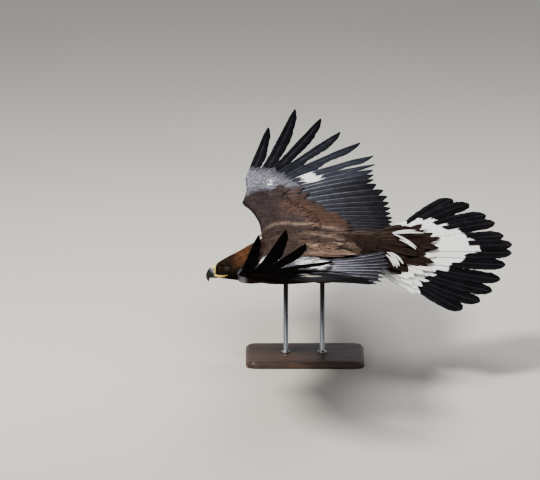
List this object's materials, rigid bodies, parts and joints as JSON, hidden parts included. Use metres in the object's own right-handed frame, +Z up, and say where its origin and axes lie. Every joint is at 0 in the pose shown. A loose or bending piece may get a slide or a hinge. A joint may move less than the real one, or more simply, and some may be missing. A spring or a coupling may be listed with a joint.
{
  "type": "golden eagle in gliding flight",
  "caption": "Life-size juvenile golden eagle gliding with wings spread and tail fanned, held over a flat base on two short rods.",
  "frame": {"origin": "centre of the stand base's underside, on the floor", "axes": "+Z up, the bird faces -X, its right wing points to +Y and its left wing to -Y"},
  "size_m": [0.8809, 1.9508, 0.6065],
  "materials": {
    "body_plumage": "soft overlapping dark brown feathers",
    "nape_plumage": "soft golden brown hackles",
    "wing_plumage": "slate brown flight feathers with a low sheen",
    "tail_plumage": "white feathers with a black end band",
    "bill_horn": "smooth dark horn with a yellow cere",
    "eye": "wet brown iris with a black pupil",
    "foot_skin": "scaled yellow skin",
    "claw_horn": "polished black horn",
    "stand_wood": "satin dark wood",
    "stand_steel": "brushed"
  },
  "bodies": {
    "root": {"bill_lower": "bill_horn", "bill_upper": "bill_horn", "claw_left_hind": "claw_horn", "claw_left_inner": "claw_horn", "claw_left_middle": "claw_horn", "claw_left_outer": "claw_horn", "claw_right_hind": "claw_horn", "claw_right_inner": "claw_horn", "claw_right_middle": "claw_horn", "claw_right_outer": "claw_horn", "eye_left": "eye", "eye_right": "eye", "foot_left": "foot_skin", "foot_right": "foot_skin", "head": "nape_plumage", "leg_left": "body_plumage", "leg_right": "body_plumage", "neck": "nape_plumage", "stand_base": "stand_wood", "stand_rod_front": "stand_steel", "stand_rod_rear": "stand_steel", "tail": "tail_plumage", "torso": "body_plumage", "wing_left_arm": "wing_plumage", "wing_left_hand": "wing_plumage", "wing_right_arm": "wing_plumage", "wing_right_hand": "wing_plumage"}
  },
  "joints": []
}
